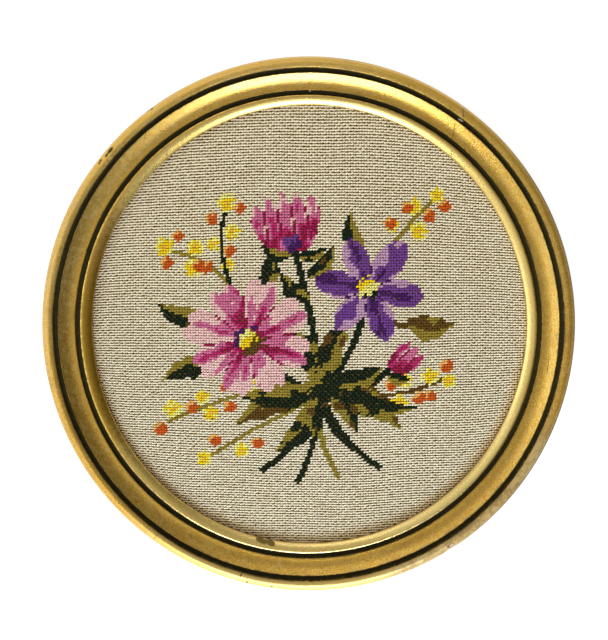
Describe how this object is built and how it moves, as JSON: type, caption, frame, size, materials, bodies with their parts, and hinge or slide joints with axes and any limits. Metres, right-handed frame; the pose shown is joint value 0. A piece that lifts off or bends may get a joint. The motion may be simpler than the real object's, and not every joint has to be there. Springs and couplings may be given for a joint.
{
  "type": "framed cross-stitch embroidery in a round gilt frame",
  "caption": "Round stitched flower posy on a cream ground, stretched over a board and set in a turned gilt ring moulding with dark grooves.",
  "frame": {"origin": "middle of the frame's back, on the surface that it rests on", "axes": "+Z out of the stitched face, +Y to the top of the picture, +X to its right"},
  "size_m": [0.248, 0.248, 0.0156],
  "materials": {
    "aged_gilt": "aged gilt on turned wood, with matt black lines in its grooves",
    "wool_on_canvas": "fine slanted stitches that cover the canvas",
    "board": "plain grey-brown fibreboard"
  },
  "bodies": {
    "root": {"gilt_frame_ring": "aged_gilt", "stitched_canvas": "wool_on_canvas", "backing_board": "board"}
  },
  "joints": []
}
